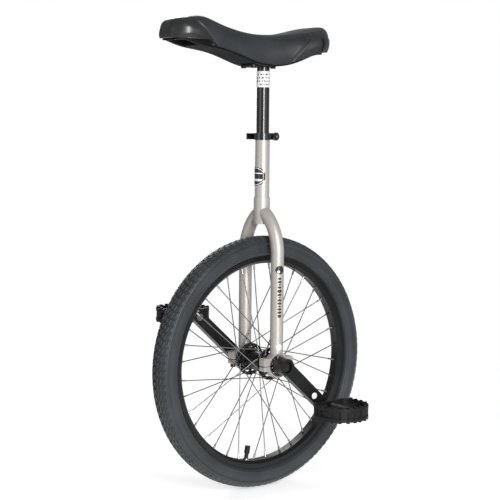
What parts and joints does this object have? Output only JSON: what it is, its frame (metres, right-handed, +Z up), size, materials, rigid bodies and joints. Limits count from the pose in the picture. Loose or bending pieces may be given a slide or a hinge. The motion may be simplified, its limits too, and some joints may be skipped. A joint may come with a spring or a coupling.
{
  "type": "unicycle",
  "caption": "Twenty inch unicycle: spoked wheel with cranks and platform pedals under a two-legged fork, with a curved saddle on a clamped sliding post.",
  "frame": {"origin": "where the tyre meets the ground, straight under the axle, midway between the pedals", "axes": "+Z up, +X forward (the saddle's handle end), +Y to the rider's left; the wheel spins about +Y"},
  "size_m": [0.4964, 0.378, 0.9144],
  "materials": {
    "tyre_rubber": "matte black rubber, slight sheen on the sidewall",
    "tube_rubber": "matte black butyl rubber",
    "rim_alloy": "satin black anodised aluminium",
    "tape_cloth": "woven cotton strip",
    "spoke_steel": "stainless steel wire",
    "nipple_brass": "bright nickel plated brass",
    "hub_alloy": "gloss black anodised aluminium",
    "axle_steel": "machined steel",
    "bearing_steel": "ground bearing steel",
    "frame_paint": "warm silver pearl gloss paint",
    "black_bolt": "black oxide steel",
    "crank_black": "gloss black forged crank",
    "pedal_plastic": "black moulded nylon, satin",
    "bush_plastic": "grey acetal",
    "post_black": "gloss black steel post",
    "clamp_black": "black anodised aluminium",
    "badge_print": "gloss printed badge, plain rings",
    "saddle_fabric": "charcoal satin cover",
    "foam": "grey foam",
    "base_plastic": "black moulded plastic",
    "bumper_plastic": "gloss black moulded plastic",
    "plate_steel": "black painted steel",
    "valve_rubber": "black rubber",
    "valve_chrome": "nickel plated ring"
  },
  "bodies": {
    "frame": {"left_fork_leg": "frame_paint", "left_bearing_housing": "frame_paint", "left_bearing_cap": "frame_paint", "left_bearing_outer_ring": "bearing_steel", "right_fork_leg": "frame_paint", "right_bearing_housing": "frame_paint", "right_bearing_cap": "frame_paint", "right_bearing_outer_ring": "bearing_steel", "bearing_cap_bolts": "black_bolt", "crown_sleeve": "frame_paint", "neck_tube": "frame_paint", "head_badge": "badge_print", "clamp_collar": "clamp_black", "clamp_skewer": "axle_steel", "clamp_nut": "clamp_black", "thrust_washer": "axle_steel"},
    "wheel": {"tyre": "tyre_rubber", "inner_tube": "tube_rubber", "rim": "rim_alloy", "rim_tape": "tape_cloth", "valve_stem": "valve_rubber", "valve_ring": "valve_chrome", "valve_cap": "valve_rubber", "spokes": "spoke_steel", "spoke_nipples": "nipple_brass", "hub_shell": "hub_alloy", "axle": "axle_steel", "crank_bolts": "black_bolt", "left_bearing_inner_ring": "bearing_steel", "left_bearing_balls": "bearing_steel", "left_axle_spacer": "hub_alloy", "left_crank": "crank_black", "left_pedal_spindle": "axle_steel", "right_bearing_inner_ring": "bearing_steel", "right_bearing_balls": "bearing_steel", "right_axle_spacer": "hub_alloy", "right_crank": "crank_black", "right_pedal_spindle": "axle_steel"},
    "left_pedal": {"left_pedal_platform": "pedal_plastic", "left_pedal_bushes": "bush_plastic", "left_pedal_end_cap": "pedal_plastic"},
    "right_pedal": {"right_pedal_platform": "pedal_plastic", "right_pedal_bushes": "bush_plastic", "right_pedal_end_cap": "pedal_plastic"},
    "saddle": {"seatpost": "post_black", "saddle_plate": "plate_steel", "saddle_base": "base_plastic", "saddle_foam": "foam", "saddle_cover": "saddle_fabric", "front_bumper": "bumper_plastic", "rear_bumper": "bumper_plastic", "saddle_bolts": "black_bolt", "saddle_nuts": "black_bolt", "bumper_screws": "spoke_steel"},
    "lever": {"quick_release_lever": "clamp_black", "lever_pin": "axle_steel"}
  },
  "joints": [
    {"name": "wheel_spin", "type": "hinge", "parent": "frame", "child": "wheel", "pos_m": [0, 0, 0.248], "axis": [0, 1, 0], "continuous": true},
    {"name": "left_pedal_spin", "type": "hinge", "parent": "wheel", "child": "left_pedal", "pos_m": [-0.09142, 0.145, 0.16275], "axis": [0, 1, 0], "continuous": true},
    {"name": "right_pedal_spin", "type": "hinge", "parent": "wheel", "child": "right_pedal", "pos_m": [0.09142, -0.145, 0.33325], "axis": [0, 1, 0], "continuous": true},
    {"name": "saddle_height", "type": "slide", "parent": "frame", "child": "saddle", "axis": [0, 0, 1], "range_m": [-0.085, 0.03]},
    {"name": "lever_swing", "type": "hinge", "parent": "frame", "child": "lever", "pos_m": [-0.024, -0.0169, 0.6905], "axis": [0, 0, -1], "range_deg": [0, 150]}
  ]
}
